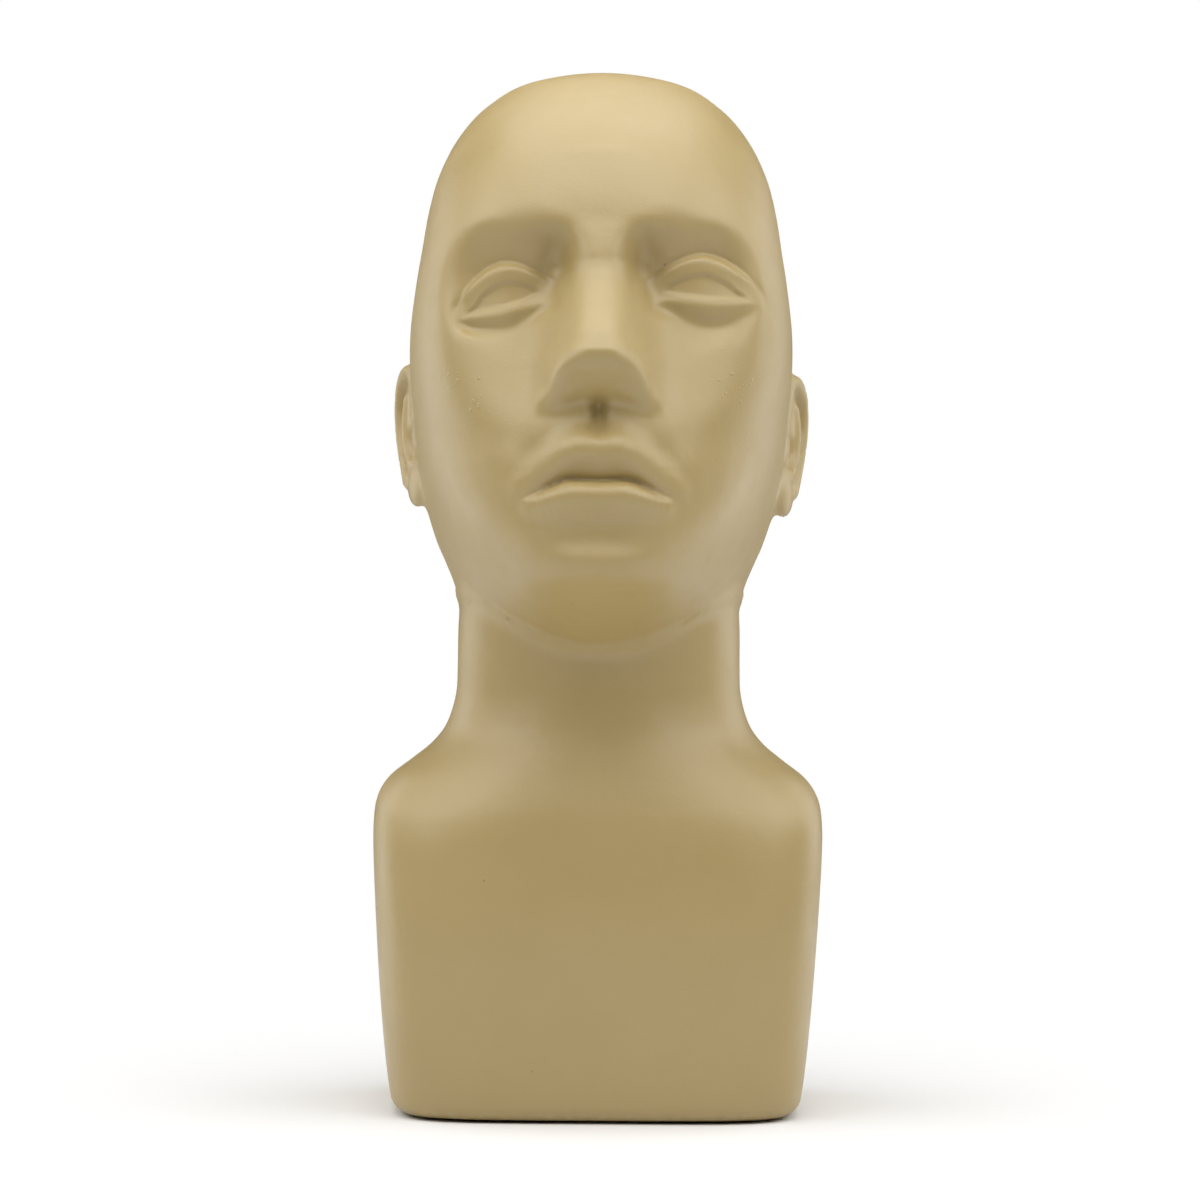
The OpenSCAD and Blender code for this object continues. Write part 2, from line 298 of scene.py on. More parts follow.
# depth of the lids at each breadth, and how far they stand out from there, between the crease
# under them (-1) and the fold above them (1)
LID_FRONT = [(15, -66.5), (18, -69.5), (24, -73.2), (30, -75), (37, -75.4), (44, -73.6), (50, -70.8),
             (56, -66.8), (62, -62.6), (66, -60)]
LID_PROFILE = [(-1.3, 0.4), (-1, 0.9), (-0.7, 1.7), (-0.4, 1), (0, 0.6), (0.4, 0.6), (0.7, 0.9), (1, 0.7),
               (1.3, 0)]
LID_SLOPE = 1.15         # how much faster than the distance the depth grows, on the slant of the lids
FOLD = [(17.5, 330.5, 0.8), (23, 334.5, 1), (30, 338, 0.8), (38, 339.4, 0.5), (45, 338, 0.4),
        (51, 334.6, 0.4), (56, 330.4, 0.4), (60.4, 325.2, 0.5), (62.5, 319.5, 0.1)]
FOLD_DEPTH, FOLD_WIDTH = 0.9, 1.7
UNDER_LID = [(25, 320, 0.2), (31, 317.3, 1), (41, 315.2, 1), (51, 316.2, 0.9), (58, 318.5, 0.3)]
UNDER_LID_DEPTH, UNDER_LID_WIDTH = 0.3, 2.6
OPENING_TOP = [(24, 326.6), (27, 329), (31, 331), (38, 332.1), (44, 330.6), (48.5, 327.8), (52, 324.4),
               (56, 321.6)]
OPENING_BOTTOM = [(24, 326.4), (31, 324), (39, 322.3), (47, 321.9), (56, 321.6)]
OPENING_DEPTH = 1.0
# front, half breadth and spread of the sides of the nose at each height, and the depth of its underside
NOSE_TOP = [(272, -136), (299, -121.5), (316, -106), (334, -89.5), (342, -86), (350, -80), (362, -66)]
NOSE_HALF = [(270, 15), (275, 15), (290, 12.4), (297, 10), (303, 8), (312, 7.2), (338, 7.2), (352, 9)]
NOSE_SPREAD = [(268, 0.22), (275, 0.22), (290, 0.29), (299, 0.41), (310, 0.5), (320, 0.53), (338, 0.45)]
NOSE_UNDER = [(262, -86), (274, -96.5), (281, -105.5), (298, -126)]
RIDGE_SLOPE, UNDER_SLOPE = 0.75, 0.6  # distance over depth on the nose's ridge and on its underside
TIP_ROUND = 8.0          # rounding from the ridge to the underside
RIDGE_ROUND = 6.5        # rounding from these to the sides


def eye_axes(p, side):
    """Points as they would be if both eyes were level and equally wide."""
    corner_x, corner_z = FOLD[0][:2]
    c, s = np.cos(EYE_SLANT * side), np.sin(EYE_SLANT * side)
    across, up = (p[:, 0] - corner_x) / (1 + EYE_STRETCH * side), p[:, 2] - corner_z
    return np.stack([corner_x + c * across + s * up, p[:, 1], corner_z + c * up - s * across], 1)


def eye(value, q):
    """Lids with a fold above them, and a blank eyeball a little way in."""
    x, z = q[:, 0], q[:, 2]
    fold, under = (along(x, [point[:2] for point in route]) for route in (FOLD, UNDER_LID))
    half = np.maximum((fold - under) / 2, 2.5)
    off = np.clip((z - (fold + under) / 2) / half, -1.3, 1.3)
    swell = along(off, LID_PROFILE) * smooth_step((63 - x) / 10)
    lids = (along(x, LID_FRONT) - swell - q[:, 1]) / LID_SLOPE
    # the lids fade into the socket 7 mm below them, 4 mm above them and at both corners
    share = smooth_step((z - under) / 7 + 0.9) * smooth_step((fold - z) / 4 + 0.55)
    share = share * smooth_step((62.5 - x) / 9) * smooth_step((x - 15) / 5)
    value = value + (lids - value) * share
    inside = np.minimum(along(x, OPENING_TOP) - z, z - along(x, OPENING_BOTTOM))
    opening = smooth_step(inside / 2.2 + 0.4) * smooth_step((x - 23) / 4) * smooth_step((57 - x) / 4)
    value = value + OPENING_DEPTH * opening
    value = value + FOLD_DEPTH * line(q, FOLD, FOLD_WIDTH)
    return value + UNDER_LID_DEPTH * line(q, UNDER_LID, UNDER_LID_WIDTH)


def nose(q):
    """A ridge with a flat back, sides that spread towards the face and a sloping underside."""
    x, y, z = q[:, 0], q[:, 1], q[:, 2]
    top, half, spread = along(z, NOSE_TOP), along(z, NOSE_HALF), along(z, NOSE_SPREAD)
    underside = np.interp(z, *zip(*NOSE_UNDER))
    side = (x - half - spread * (y - top)) / np.sqrt(1 + spread**2)
    front = both((top - y) * RIDGE_SLOPE, (underside - y) * UNDER_SLOPE, TIP_ROUND)
    return both(side, front, RIDGE_ROUND)


# ------------------------------------------------------------------ face

# Eggs carved out: centre, radii and turn; blend; box that the blend stays in
SOCKET_BOX = ((-1, -125, 290), (90, -20, 375))
HOLLOWS = [
    (((17.5, -87, 334), (9.5, 15, 13), 8), 10, SOCKET_BOX),    # beside the bridge of the nose
    (((35, -93, 332.5), (24, 18, 21.5), 13), 12, SOCKET_BOX),  # middle of the eye socket
    (((51, -81, 332), (15.5, 14, 18), 32), 10, SOCKET_BOX),    # its outer part
    (((36, -112, 313), (30, 27, 24), 18), 26, ((-1, -125, 265), (85, -30, 350))),  # beside the nose
]
EYE_BOX = ((12, -100, 300), (76, -40, 350))

# Forms joined on: form and its places; blend; box
WING = [(10, -106, 286.5, 3), (15, -101, 283, 3.2), (19.5, -96.5, 280.5, 2.8)]
MUZZLE = ((0, -92.5, 267), (24, 12, 11))
UPPER_LIP = [(0, -106, 261, 5), (8, -106, 261.5, 5), (14, -102.5, 258, 4.5), (22, -97, 252, 3.2),
             (28, -92, 247.5, 1.5)]
LOWER_LIP = [(0, -105.3, 244.3, 6.5), (9, -104.8, 244.5, 6.3), (16, -101.3, 243, 5.1),
             (23.5, -95.8, 241.4, 2.6)]
RAISED = [
    (nose, (), 9, ((-1, -140, 255), (55, -50, 385))),
    (tube, (WING,), 4, ((-1, -130, 262), (40, -80, 305))),
    (egg, MUZZLE, 9, ((-1, -130, 245), (45, -60, 292))),
    (tube, (UPPER_LIP,), 8, ((-1, -130, 235), (50, -70, 275))),
    (tube, (LOWER_LIP,), 7, ((-1, -130, 222), (50, -70, 262))),
]

# Lines pressed in: depth, line and its width; box
MOUTH_LINE = [(0, 249.8, 1), (11, 250.3, 1), (17, 248.4, 0.9), (24, 245.4, 0.5), (29, 244, 0.2),
              (33, 243.4, 0)]
PHILTRUM = [(0, 279, 1), (0, 273, 1), (0, 269.5, 0.5), (0, 265, 0.1), (0, 261, 0.1)]
UNDER_LIP = [(0, 227.5, 1), (10, 227.5, 0.9), (18, 228, 0.5), (26, 229, 0)]
PRESSED = [
    (1.9, MOUTH_LINE, 3.0, ((-1, -130, 225), (60, -60, 272))),
    (0.9, MOUTH_LINE, 1.3, ((-1, -130, 235), (40, -70, 257))),
    (3.2, PHILTRUM, 3.2, ((-1, -115, 255), (20, -85, 290))),
    (2.6, UNDER_LIP, 6.5, ((-1, -130, 205), (60, -70, 258))),
]


def face(p, value, side):
    """Blends the features into the field. p has its x folded to the left half."""
    for place, blend, box in HOLLOWS:
        i = within(p, box)
        value[i] = carve(value[i], egg(p[i], *place), blend)
    i = within(p, EYE_BOX)
    value[i] = eye(value[i], eye_axes(p[i], side[i]))
    for form, places, blend, box in RAISED:
        i = within(p, box)
        value[i] = join(value[i], form(p[i], *places), blend)
    for depth, route, width, box in PRESSED:
        i = within(p, box)
        value[i] += depth * line(p[i], route, width)
    return value


# ------------------------------------------------------------------ ears

EAR_AT = (74.3, 6.0, 279.0)   # front edge of the ear, half way up
EAR_OUT = math.radians(17)    # how far it stands off the head
EAR_BACK = math.radians(14)   # how far it leans back
EAR_BOX = ((58, -25, 235), (105, 60, 325))
EAR_BLEND = 4
# back from the ear's front edge, out from its plane, up; the last value is a radius or, for an egg,
# the radii
EAR_PLATE = ((13, -0.8, 5), (16.5, 3.2, 26))
LOBE = ((10, 0.5, -22), (9.5, 3.8, 9))
TRAGUS = ((-1, 1.5, -5), (3.5, 3.2, 6))
BOWL = ((9, 4.5, -1), (7.5, 5.5, 10))
HELIX = [(3, 2, 2, 1.8), (-1, 2.2, 11, 2.2), (0, 2.2, 20, 2.6), (6, 2.2, 26.5, 2.8), (15, 2.2, 29, 2.9),
         (24, 2.2, 25.5, 2.9), (28.5, 2.2, 15, 2.8), (28, 2.2, 3, 2.6), (24, 2.2, -9, 2.5),
         (18, 2.5, -18, 2.8)]
ANTIHELIX = [(17, 1.5, 18, 1.8), (20, 2, 8, 2.2), (19, 2, -3, 2.2), (13, 2, -11, 2.4)]


def ear_axes(p):
    """Points in the ear's own axes: back from its front edge, out from its plane, up."""
    q = p - np.array(EAR_AT)
    c, s = math.cos(EAR_OUT), math.sin(EAR_OUT)
    back, out = c * q[:, 1] + s * q[:, 0], c * q[:, 0] - s * q[:, 1]
    c, s = math.cos(EAR_BACK), math.sin(EAR_BACK)
    return np.stack([c * back - s * q[:, 2], out, s * back + c * q[:, 2]], 1)


def ears(p, value):
    """Blends an ear into the field. p has its x folded to the left half."""
    i = within(p, EAR_BOX)
    q = ear_axes(p[i])
    ear = join(egg(q, *EAR_PLATE), egg(q, *LOBE), 5)
    for form, blend in ((tube(q, HELIX), 2.5), (tube(q, ANTIHELIX), 3), (egg(q, *TRAGUS), 3)):
        ear = join(ear, form, blend)
    value[i] = join(value[i], carve(ear, egg(q, *BOWL), 2), EAR_BLEND)
    return value


# ------------------------------------------------------------------ from field to mesh


def jaw_underside(p):
    """Distance above the surface that the head is cut off by, from chin to throat and up to the sides."""
    floor = THROAT[1] + JAW_RISE * p[:, 0] ** 2 - JAW_SLOPE * (p[:, 1] - THROAT[0])
    slope = np.sqrt(1 + JAW_SLOPE**2 + (2 * JAW_RISE * p[:, 0]) ** 2)
    return (floor - p[:, 2]) / slope


def field(p):
    """Distance to the outside of the moulding, negative inside."""
    turn = HEAD_TURN * smooth_step((p[:, 2] - TURN_FROM) / TURN_SPAN)
    c, s = np.cos(turn), np.sin(turn)
    x, y = p[:, 0], p[:, 1] - WIDEST_Y
    turned = np.stack([c * x - s * y, WIDEST_Y + s * x + c * y, p[:, 2]], 1)
    lean = FACE_LEAN * smooth_step((LEAN_BACK - turned[:, 1]) / LEAN_SPAN)
    turned[:, 1] -= lean * (turned[:, 2] - LEAN_FROM)
    side = np.sign(turned[:, 0])
    turned[:, 0] = np.abs(turned[:, 0])
    skull = both(head.distance(turned), jaw_underside(turned), JAW_ROUND)
    value = face(turned, skull, side)
    turned[:, 2] += EAR_DROP * side
    value = ears(turned, value)
    neck = both(trunk.distance(p), p[:, 2] - NECK_TOP, NECK_BLEND)
    bead = np.exp(-(((skull - neck) / BEAD_HALF) ** 2) - ((skull + neck) / BEAD_REACH) ** 2)
    bead = bead * smooth_step((BEAD_BACK - p[:, 1]) / BEAD_BACK)
    return join(value, neck, NECK_BLEND) - JAW_BEAD * bead


def fill_pinches(value):
    """Fills the samples where the solid would touch itself along a line, so that no edge has four faces."""
    while True:
        inside = value < 0
        pinched = np.zeros_like(inside)
        for u, v in ((0, 1), (0, 2), (1, 2)):
            corners = []
            for du, dv in ((0, 0), (0, 1), (1, 1), (1, 0)):
                where = [slice(None)] * 3
                where[u] = slice(du, value.shape[u] - 1 + du)
                where[v] = slice(dv, value.shape[v] - 1 + dv)
                corners.append(tuple(where))
            a, b, c, d = (inside[corner] for corner in corners)
            for corner in corners:
                pinched[corner] |= (a == c) & (b == d) & (a != b)
        pinched &= ~inside
        if not pinched.any():
            return value
        value = np.where(pinched, -0.01, value)


def surface_net(low, high, step):
    """Quads round the zero surface of the field, one corner in each grid cell that it passes through."""
    axes = [np.arange(a, b + step, step) for a, b in zip(low, high)]
    grid = np.stack(np.meshgrid(*axes, indexing="ij"), -1)
    value = fill_pinches(field(grid.reshape(-1, 3)).reshape(grid.shape[:3]))
    inside = value < 0
    cells = tuple(n - 1 for n in value.shape)
    total, hits = np.zeros(cells + (3,)), np.zeros(cells)
    for axis in range(3):
        others = [a for a in range(3) if a != axis]
        for shift in ((0, 0), (0, 1), (1, 0), (1, 1)):
            near, far = [None] * 3, [None] * 3
            near[axis], far[axis] = slice(0, -1), slice(1, None)
            for a, one in zip(others, shift):
                near[a] = far[a] = slice(one, one + cells[a])
            near, far = tuple(near), tuple(far)
            crossed = inside[near] != inside[far]
            drop = np.where(crossed, value[near] - value[far], 1)
            part = np.where(crossed, value[near] / drop, 0)[..., None]
            total += np.where(crossed[..., None], grid[near] + (grid[far] - grid[near]) * part, 0)
            hits += crossed
    used = hits > 0
    number = np.full(cells, -1)
    number[used] = np.arange(used.sum())
    points = total[used] / hits[used][:, None]
    quads = []
    for axis in range(3):
        u, v = (axis + 1) % 3, (axis + 2) % 3
        near, far = [slice(1, -1)] * 3, [slice(1, -1)] * 3
        near[axis], far[axis] = slice(0, -1), slice(1, None)
        change = inside[tuple(near)].astype(int) - inside[tuple(far)].astype(int)
        at = np.argwhere(change != 0)
        sign = change[tuple(at.T)]
        corner = at + 1
        corner[:, axis] -= 1
        ring = []
        for du, dv in ((-1, -1), (0, -1), (0, 0), (-1, 0)):
            cell = corner.copy()
            cell[:, u] += du
            cell[:, v] += dv
            ring.append(number[tuple(cell.T)])
        ring = np.stack(ring, 1)
        ring[sign < 0] = ring[sign < 0][:, ::-1]
        quads.append(ring)
    return points, np.vstack(quads)


def settle(points, links, rounds):
    """Evens out the points along the surface and sets them on it again."""
    a, b = links.T
    count = np.bincount(a, minlength=len(points)) + np.bincount(b, minlength=len(points))
    for _ in range(rounds):
        total = np.stack([np.bincount(a, points[b, i], len(points))
                          + np.bincount(b, points[a, i], len(points)) for i in range(3)], 1)
        points = land((points + total / count[:, None]) / 2)
    return points


def land(points, reach=1.5):
    """Moves points straight to the surface."""
    value = field(points)
    slope = np.stack([(field(points + 0.15 * axis) - value) / 0.15 for axis in np.eye(3)], 1)
    move = -value[:, None] * slope / (np.sum(slope**2, 1)[:, None] + 1e-3)
    size = np.linalg.norm(move, axis=1)[:, None]
    return points + move * np.minimum(1, reach / np.maximum(size, 1e-9))


def links_of(bm):
    """Numbers of the two ends of every edge."""
    return np.array([(e.verts[0].index, e.verts[1].index) for e in bm.edges])


def places_of(verts):
    return np.array([v.co[:] for v in verts])


def folded(points):
    """The points with those of one side mirrored onto the other."""
    points = points.copy()
    points[:, 0] = np.abs(points[:, 0])
    return points


def make_outer():
    """Mesh of the whole outside, below the rim too."""
    points, quads = surface_net(*GRID_BOX, GRID_STEP)
    mesh = bpy.data.meshes.new("outer")
    mesh.from_pydata(points.tolist(), [], quads.tolist())
    bm = bmesh.new()
    bm.from_mesh(mesh)
    for v, place in zip(bm.verts, settle(points, links_of(bm), 3)):
        v.co = place
    return bm


def refine(bm, box):
    """Halves the edges inside a box and its mirror image, then settles the points again."""
    chosen = set(within(folded(places_of(bm.verts)), box))
    edges = [e for e in bm.edges if e.verts[0].index in chosen and e.verts[1].index in chosen]
    bmesh.ops.subdivide_edges(bm, edges=edges, cuts=1, use_grid_fill=True)
    bm.verts.index_update()
    bm.verts.ensure_lookup_table()
    points = places_of(bm.verts)
    low, high = np.array(box)
    near = within(folded(points), (low - FINE_MARGIN, high + FINE_MARGIN))
    moved = settle(points, links_of(bm), 2)
    for i in near:
        bm.verts[i].co = moved[i]


# ------------------------------------------------------------------ rim, lip and inside


def cut_bottom(bm):
    """Cuts the mesh off level where the rounding of the rim starts, and gives the cut's corners in order."""
    height = FLOOR_Z + EDGE_R
    everything = bm.verts[:] + bm.edges[:] + bm.faces[:]
    bmesh.ops.bisect_plane(bm, geom=everything, plane_co=(0, 0, height), plane_no=(0, 0, 1),
                           clear_inner=True)
    bmesh.ops.remove_doubles(bm, verts=[v for v in bm.verts if v.co.z < height + 1], dist=1)
    first = next(e for e in bm.edges if e.is_boundary)
    loop, last = [first.verts[0]], first
    while last.other_vert(loop[-1]) is not loop[0]:
        loop.append(last.other_vert(loop[-1]))
        last = next(e for e in loop[-1].link_edges if e.is_boundary and e is not last)
    for v in loop:
        v.co.z = height
    return loop


def add_ring(bm, previous, points, step=1):
    """Adds a ring of corners, joined to the ring before it, whose corners it takes singly or by twos."""
    ring = [bm.verts.new(point) for point in points]
    count = len(ring)
    for i in range(count):
        start = i * step
        stop = start + step if i < count - 1 else len(previous)
        side = [previous[j % len(previous)] for j in range(start, stop + 1)]
        bm.faces.new(side + [ring[(i + 1) % count], ring[i]])
    return ring


def rim_points(start):
    """Points of each ring from the outside of the rim round to the top of the lip."""
    foot = start.copy()
    foot[:, 2] = FLOOR_Z
    slope = np.stack([(trunk.distance(foot + 0.2 * axis) - trunk.distance(foot)) / 0.2
                      for axis in np.eye(3)[:2]], 1)
    out = np.zeros_like(foot)
    out[:, :2] = slope / np.linalg.norm(slope, axis=1)[:, None]
    for _ in range(3):
        foot -= trunk.distance(foot)[:, None] * out
    for turn in np.radians(EDGE_TURNS):
        part = math.sin(turn)
        ring = start + (foot - start) * part - EDGE_R * (1 - math.cos(turn)) * out
        ring[:, 2] = FLOOR_Z + EDGE_R * (1 - part)
        yield ring
    for inset, height in ((RIM_W, 0), (RIM_W, PLATE_T), (RIM_W + LIP_W, PLATE_T),
                          (RIM_W + LIP_W, PLATE_T + LIP_T)):
        ring = foot - inset * out
        ring[:, 2] = FLOOR_Z + height
        yield ring


def inside_points(way, heights):
    """Points WALL below the outer surface, at each height and in each direction from the upright axis."""
    z = np.repeat(heights, len(way))
    ways = np.tile(way, (len(heights), 1))
    near, far = np.zeros(len(z)), np.full(len(z), INSIDE_FAR)
    for _ in range(12):
        middle = (near + far) / 2
        p = np.stack([ways[:, 0] * middle, AXIS_Y + ways[:, 1] * middle, z], 1)
        deep = field(p) < -WALL
        near, far = np.where(deep, middle, near), np.where(deep, far, middle)
    return p.reshape(len(heights), len(way), 3)


def hollow(bm):
    """Turns the open outer surface into a closed skin with a rim, a recess for the plate and a lip."""
    ring = cut_bottom(bm)
    start = places_of(ring)
    sharp = []
    for number, points in enumerate(rim_points(start)):
        ring = add_ring(bm, ring, points)
        if number >= len(EDGE_TURNS):
            sharp.append(ring)
    top = CROWN_Z - WALL
    # level rings up the inside, close together under the jaw and at the crown
    heights = np.concatenate([np.arange(FLOOR_Z + PLATE_T + LIP_T, 176, 12), np.arange(178, 228, 3.5),
                              np.arange(230, 396, 8), top - np.array([28, 20, 13, 8, 4, 1.5])])
    way = start[::2, :2] - (0, AXIS_Y)
    way /= np.linalg.norm(way, axis=1)[:, None]
    step = 2
    for points in inside_points(way, heights):
        ring = add_ring(bm, ring, points, step)
        step = 1
    pole = bm.verts.new((0, AXIS_Y, top))
    for a, b in zip(ring, ring[1:] + ring[:1]):
        bm.faces.new((a, b, pole))
    bmesh.ops.recalc_face_normals(bm, faces=bm.faces[:])
    for ring in sharp:
        for a, b in zip(ring, ring[1:] + ring[:1]):
            bm.edges.get((a, b)).smooth = False


def screw_places():
    """Middle of each base screw, from its CAD node."""
    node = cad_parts["base_screws"]
    points = np.array([(node.matrix_world @ v.co)[:] for v in node.data.vertices])[:, :2] / M
    while len(points):
        near = np.linalg.norm(points - points[0], axis=1) < SCREW_HEAD_SPREAD
        yield (points[near].min(0) + points[near].max(0)) / 2
        points = points[~near]


def drill(shell):
    """Cuts the screw holes through the lip."""
    bm = bmesh.new()
    depth = LIP_T + 1
    for x, y in screw_places():
        made = bmesh.ops.create_cone(bm, cap_ends=True, segments=24, radius1=SCREW_HOLE_R * M,
                                     radius2=SCREW_HOLE_R * M, depth=depth * M)
        middle = plate_high[2] - 0.5 + depth / 2
        bmesh.ops.translate(bm, verts=made["verts"], vec=(x * M, y * M, middle * M))
    mesh = bpy.data.meshes.new("screw_holes")
    bm.to_mesh(mesh)
    tool = bpy.data.objects.new("screw_holes", mesh)
    bpy.context.scene.collection.objects.link(tool)
    cut = shell.modifiers.new("screw_holes", "BOOLEAN")
    cut.operation = "DIFFERENCE"
    cut.solver = "EXACT"
    cut.object = tool
    bpy.context.view_layer.objects.active = shell
    bpy.ops.object.modifier_apply(modifier=cut.name)
    bpy.data.objects.remove(tool)


def build_shell():
    """The moulding as an object, in metres and in the frame's own place."""
    bm = make_outer()
    for box in (FINE_FACE, FINE_EAR, FINE_EYE, FINE_MOUTH):
        refine(bm, box)
    hollow(bm)
    for f in bm.faces:
        f.smooth = True
    for v in bm.verts:
        v.co = (v.co.x * M, (v.co.y + DEPTH_SHIFT) * M, v.co.z * M)
    mesh = bpy.data.meshes.new("shell_moulding")
    bm.to_mesh(mesh)
    made = bpy.data.objects.new("shell_moulding", mesh)
    bpy.context.scene.collection.objects.link(made)
    drill(made)
    return made


shell = build_shell()
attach(shell, "root")
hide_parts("shell")

# ------------------------------------------------------------------ materials

SAND_DEEP, SAND_PALE = (0.388, 0.286, 0.113), (0.406, 0.300, 0.122)
SCUFF = (0.47, 0.38, 0.21)
SPECK = (0.10, 0.07, 0.04)
PLATE_DARK, PLATE_RUBBED = (0.035, 0.033, 0.030), (0.075, 0.071, 0.065)
ZINC, ZINC_YELLOWED = (0.62, 0.62, 0.64), (0.60, 0.56, 0.45)
RUBBER, DUST = (0.018, 0.018, 0.018), (0.06, 0.056, 0.05)
SCUFF_LOW, SCUFF_HIGH = 0.001, 0.005        # metres up, from full scuffs at the rim to none
CHEEK = (0.050, -0.068 + DEPTH_SHIFT * M, 0.286)  # where the mould's pimples are, in metres
CHEEK_R = 0.03


class Finish:
    """A material made of nodes, with short ways to add and join them."""

    def __init__(self, name, **settings):
        self.material = bpy.data.materials.new(name)
        self.material.use_nodes = True
        self.tree = self.material.node_tree
        self.shader = self.tree.nodes["Principled BSDF"]
        self.place = self.tree.nodes.new("ShaderNodeTexCoord").outputs["Object"]
        for socket, value in settings.items():
            self.shader.inputs[socket.replace("_", " ")].default_value = value

    def node(self, kind, **inputs):
        """A node whose inputs are numbers, colours or the outputs of other nodes."""
        made = self.tree.nodes.new("ShaderNode" + kind)
        for socket, value in inputs.items():
            socket = made.inputs[socket.replace("_", " ")]
            if isinstance(value, bpy.types.NodeSocket):
                self.tree.links.new(value, socket)
            else:
                socket.default_value = value
        return made

    def noise(self, scale, detail=2.0, roughness=0.5):
        """Cloudy noise, scale in blobs per metre."""
        made = self.node("TexNoise", Vector=self.place, Scale=scale, Detail=detail, Roughness=roughness)
        return made.outputs["Fac"]

    def cells(self, scale):
        """Distance to the nearest of many scattered points."""
        return self.node("TexVoronoi", Vector=self.place, Scale=scale).outputs["Distance"]

    def between(self, value, low, high, to_low=0.0, to_high=1.0, curve="LINEAR"):
        """The value, stretched from one span onto another and clipped to it."""
        made = self.node("MapRange", Value=value, From_Min=low, From_Max=high, To_Min=to_low, To_Max=to_high)
        made.interpolation_type = curve
        return made.outputs["Result"]

    def times(self, a, b):
        """The two multiplied."""
        made = self.tree.nodes.new("ShaderNodeMath")
        made.operation = "MULTIPLY"
        for socket, value in zip(made.inputs, (a, b)):
            self.tree.links.new(value, socket)
        return made.outputs[0]

    def mix(self, share, a, b):
        """Colour a where share is 0 and b where it is 1."""
        made = self.tree.nodes.new("ShaderNodeMix")
        made.data_type = "RGBA"
        for number, value in ((0, share), (6, a), (7, b)):
            if isinstance(value, bpy.types.NodeSocket):
                self.tree.links.new(value, made.inputs[number])
            else:
                made.inputs[number].default_value = (*value, 1)
        return made.outputs[2]

    def height(self):
        """How high a point is, in metres."""
        return self.node("SeparateXYZ", Vector=self.place).outputs["Z"]

    def distance(self, centre):
        """How far a point is from a place, in metres."""
        made = self.tree.nodes.new("ShaderNodeVectorMath")
        made.operation = "DISTANCE"
        self.tree.links.new(self.place, made.inputs[0])
        made.inputs[1].default_value = centre
        return made.outputs["Value"]

    def bump(self, value, depth, strength=1.0):
        """Raises the surface by value, up to depth metres, on top of what is raised already."""
        made = self.node("Bump", Height=value, Distance=depth, Strength=strength)
        before = self.shader.inputs["Normal"].links
        if before:
            self.tree.links.new(before[0].from_socket, made.inputs["Normal"])
        self.tree.links.new(made.outputs["Normal"], self.shader.inputs["Normal"])

    def use(self, socket, value):
        """Lets the output of a node set one of the shader's inputs."""
        self.tree.links.new(value, self.shader.inputs[socket])


def sand_plastic():
    """Satin moulded skin: fine grain, slight clouding, pimples on the cheeks, specks and a scuffed rim."""
    finish = Finish("shell_plastic", Specular_IOR_Level=0.7)
    clouds = finish.between(finish.noise(14, 4, 0.6), 0.35, 0.65)
    colour = finish.mix(clouds, SAND_DEEP, SAND_PALE)
    specks = finish.times(finish.between(finish.cells(70), 0.035, 0.02),
                          finish.between(finish.noise(30), 0.5, 0.62))
    colour = finish.mix(finish.times(specks, finish.noise(300)), colour, SPECK)
    scuffs = finish.times(finish.between(finish.height(), SCUFF_HIGH, SCUFF_LOW),
                          finish.between(finish.noise(300, 3), 0.45, 0.7))
    finish.use("Base Color", finish.mix(scuffs, colour, SCUFF))
    finish.use("Roughness", finish.between(finish.noise(38, 4, 0.65), 0.3, 0.7, 0.38, 0.5))
    finish.bump(finish.noise(1500, 2), 0.00006)
    finish.bump(finish.noise(110, 3), 0.00035, 0.6)
    pimples = finish.times(finish.between(finish.cells(360), 0.3, 0.05),
                           finish.between(finish.noise(70), 0.48, 0.6))
    for side in (-1, 1):
        away = finish.distance((side * CHEEK[0], CHEEK[1], CHEEK[2]))
        finish.bump(finish.times(pimples, finish.between(away, 0, CHEEK_R, 1, 0)), 0.0003)
    return finish.material


def plate_plastic():
    """Dark sheet with a leathery grain, paler where it has been rubbed."""
    finish = Finish("plate_plastic")
    rubbed = finish.between(finish.noise(45, 5, 0.65), 0.5, 0.75)
    finish.use("Base Color", finish.mix(rubbed, PLATE_DARK, PLATE_RUBBED))
    finish.use("Roughness", finish.between(finish.noise(90, 3), 0.3, 0.7, 0.48, 0.68))
    finish.bump(finish.cells(900), 0.00018)
    finish.bump(finish.noise(2600, 2), 0.00005)
    return finish.material


def screw_steel():
    """Bright zinc plating, a little yellowed and dulled in patches."""
    finish = Finish("screw_steel", Metallic=1.0)
    tint = finish.between(finish.noise(500, 3), 0.35, 0.7)
    finish.use("Base Color", finish.mix(tint, ZINC, ZINC_YELLOWED))
    finish.use("Roughness", finish.between(finish.noise(900, 4), 0.3, 0.7, 0.24, 0.46))
    finish.bump(finish.noise(5000, 2), 0.00002)
    return finish.material


def foot_rubber():
    """Matt black rubber with a fine grain and some dust."""
    finish = Finish("foot_rubber")
    dust = finish.between(finish.noise(260, 4, 0.7), 0.52, 0.75)
    finish.use("Base Color", finish.mix(dust, RUBBER, DUST))
    finish.use("Roughness", finish.between(finish.noise(320, 3), 0.3, 0.7, 0.7, 0.9))
    finish.bump(finish.noise(3200, 3), 0.00006)
    return finish.material


shell.data.materials.clear()
shell.data.materials.append(sand_plastic())
for start_of_name, material in (("base_plate", plate_plastic()), ("base_screws", screw_steel()),
                                ("foot_", foot_rubber())):
    for name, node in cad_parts.items():
        if name.startswith(start_of_name):
            for slot in node.material_slots:
                slot.material = material

# ------------------------------------------------------------------ camera

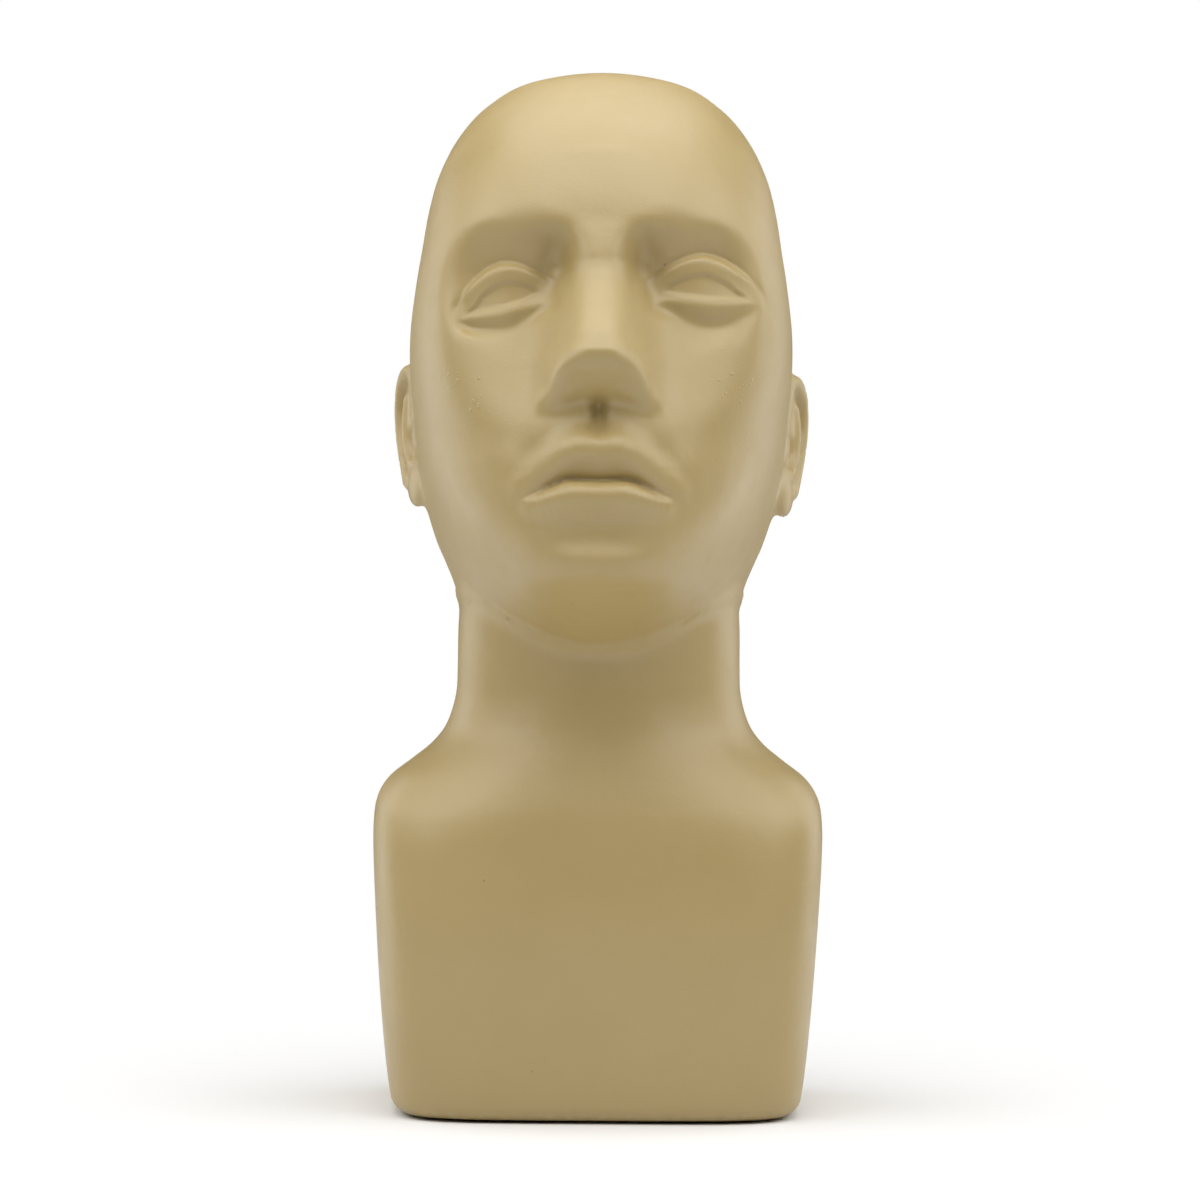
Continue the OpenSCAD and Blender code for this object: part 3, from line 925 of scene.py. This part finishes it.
CAMERA_AT = Vector((-0.02, -1.2, 0.16))
CAMERA_AIM = Vector((0.0, 0.0, 0.2085))
CAMERA_ROLL = math.radians(0.5)
LENS = 87.8

scene = bpy.context.scene
scene.view_settings.view_transform = "Standard"
camera_data = bpy.data.cameras.new("camera")
camera_data.sensor_width = 36
camera_data.lens = LENS
camera = bpy.data.objects.new("camera", camera_data)
look = (CAMERA_AIM - CAMERA_AT).to_track_quat("-Z", "Y").to_matrix().to_4x4()
camera.matrix_world = Matrix.Translation(CAMERA_AT) @ look @ Matrix.Rotation(CAMERA_ROLL, 4, "Z")
scene.collection.objects.link(camera)
scene.camera = camera

# ------------------------------------------------------------------ light and floor

LIT_AT = Vector((0, 0, 0.25))  # what every light is aimed at
# Soft lights: place, breadth and height, watts
LIGHTS = {
    "overhead": ((0, 0, 1.3), (1.2, 1.2), 10.5),
    "overhead_front": ((0, -1.2, 2.2), (2.4, 1.2), 17.5),
    "front_high": ((0, -1.2, 1.35), (1.6, 0.6), 3),
}
# The same for those with a twin on the other side
SIDE_LIGHTS = {
    "side_high": ((1.2, -0.1, 1.2), (0.9, 0.9), 6.5),
    "side_front": ((1.1, -0.9, 1.1), (0.7, 0.7), 4.8),
    "side_back": ((0.9, 0.6, 0.4), (0.6, 1.0), 3.6),
}
WORLD_LIGHT = 0.03             # strength of the backdrop as a light; the camera sees it as plain white
FLOOR_SIZE = 8
FLOOR_COLOUR = (0.85, 0.85, 0.85, 1)
WHITE_FROM, WHITE_TO = 0.12, 0.5  # metres from the object over which the floor fades to white


def soft_light(name, place, size, power):
    """A rectangular light aimed at the object."""
    data = bpy.data.lights.new(name, "AREA")
    data.energy = power
    data.shape = "RECTANGLE"
    data.size, data.size_y = size
    light = bpy.data.objects.new(name, data)
    light.location = place
    light.rotation_euler = (LIT_AT - Vector(place)).to_track_quat("-Z", "Y").to_euler()
    scene.collection.objects.link(light)


def white_backdrop():
    """A world that the camera sees as white, and that hardly lights the object."""
    world = bpy.data.worlds.new("world")
    world.use_nodes = True
    tree = world.node_tree
    background = tree.nodes["Background"]
    background.inputs["Color"].default_value = (1, 1, 1, 1)
    seen = tree.nodes.new("ShaderNodeLightPath")
    strength = tree.nodes.new("ShaderNodeMapRange")
    strength.inputs["To Min"].default_value = WORLD_LIGHT
    strength.inputs["To Max"].default_value = 1.0
    tree.links.new(seen.outputs["Is Camera Ray"], strength.inputs["Value"])
    tree.links.new(strength.outputs["Result"], background.inputs["Strength"])
    return world


def floor_paint():
    """Pale grey that takes the shadow and fades to white further out, as the camera sees it."""
    finish = Finish("floor", Base_Color=FLOOR_COLOUR, Roughness=0.8)
    away = finish.between(finish.distance((0, 0, 0)), WHITE_FROM, WHITE_TO, curve="SMOOTHSTEP")
    seen = finish.node("LightPath").outputs["Is Camera Ray"]
    white = finish.node("Emission").outputs["Emission"]
    blend = finish.node("MixShader", Fac=finish.times(away, seen))
    for number, shader in ((1, finish.shader.outputs["BSDF"]), (2, white)):
        finish.tree.links.new(shader, blend.inputs[number])
    surface = finish.tree.nodes["Material Output"].inputs["Surface"]
    finish.tree.links.new(blend.outputs["Shader"], surface)
    return finish.material


scene.world = white_backdrop()
for name, (place, size, power) in LIGHTS.items():
    soft_light(name, place, size, power)
for name, ((x, y, z), size, power) in SIDE_LIGHTS.items():
    for side in (-1, 1):
        soft_light(name, (side * x, y, z), size, power)

bpy.ops.mesh.primitive_plane_add(size=FLOOR_SIZE, location=(0, 0, 0))
floor = bpy.context.object
floor.name = "floor"
floor.data.materials.append(floor_paint())
